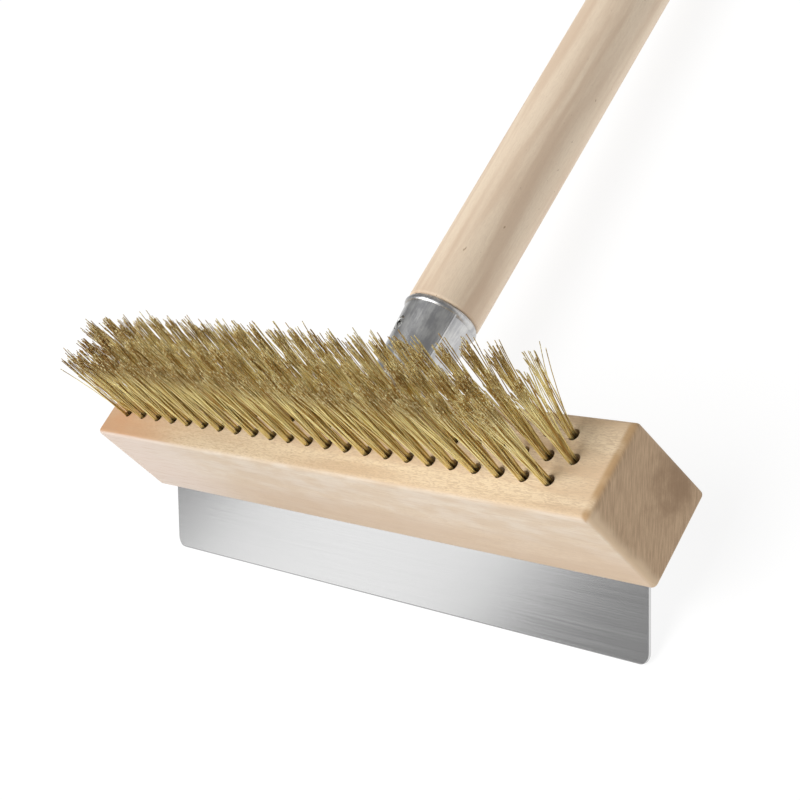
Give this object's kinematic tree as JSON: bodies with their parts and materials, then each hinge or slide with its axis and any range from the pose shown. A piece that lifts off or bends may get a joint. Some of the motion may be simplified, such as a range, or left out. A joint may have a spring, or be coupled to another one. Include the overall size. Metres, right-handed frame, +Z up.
{
  "type": "grill cleaning brush",
  "caption": "Long-handled cleaning brush with rows of brass wire tufts in a wooden head, and a bent steel scraper blade along its underside.",
  "frame": {"origin": "on the surface the brush lies on, under the middle of its bounding box", "axes": "+X along the head, +Y towards the free end of the handle, +Z up, with the bristles up; the head leans back a few degrees, because the brush lies on its scraper's edge and its handle's end"},
  "size_m": [0.265, 0.552, 0.0938],
  "materials": {
    "head_wood": "sanded bare beech",
    "handle_wood": "sanded bare beech",
    "blade_steel": "fine brushed stainless",
    "zinc_sheet": "dull zinc plating",
    "screw_steel": "bright zinc plating",
    "anchor_steel": "plain drawn wire",
    "brass_wire": "drawn brass wire"
  },
  "bodies": {
    "root": {"block": "head_wood", "scraper_blade": "blade_steel", "blade_screws": "screw_steel", "handle_socket": "zinc_sheet", "socket_screws": "screw_steel", "handle_screw": "screw_steel", "handle": "handle_wood", "tuft_anchors": "anchor_steel", "tuft_column_01": "brass_wire", "tuft_column_02": "brass_wire", "tuft_column_03": "brass_wire", "tuft_column_04": "brass_wire", "tuft_column_05": "brass_wire", "tuft_column_06": "brass_wire", "tuft_column_07": "brass_wire", "tuft_column_08": "brass_wire", "tuft_column_09": "brass_wire", "tuft_column_10": "brass_wire", "tuft_column_11": "brass_wire", "tuft_column_12": "brass_wire", "tuft_column_13": "brass_wire", "tuft_column_14": "brass_wire", "tuft_column_15": "brass_wire", "tuft_column_16": "brass_wire", "tuft_column_17": "brass_wire", "tuft_column_18": "brass_wire", "tuft_column_19": "brass_wire", "tuft_column_20": "brass_wire", "tuft_column_21": "brass_wire", "tuft_column_22": "brass_wire", "tuft_column_23": "brass_wire"}
  },
  "joints": []
}
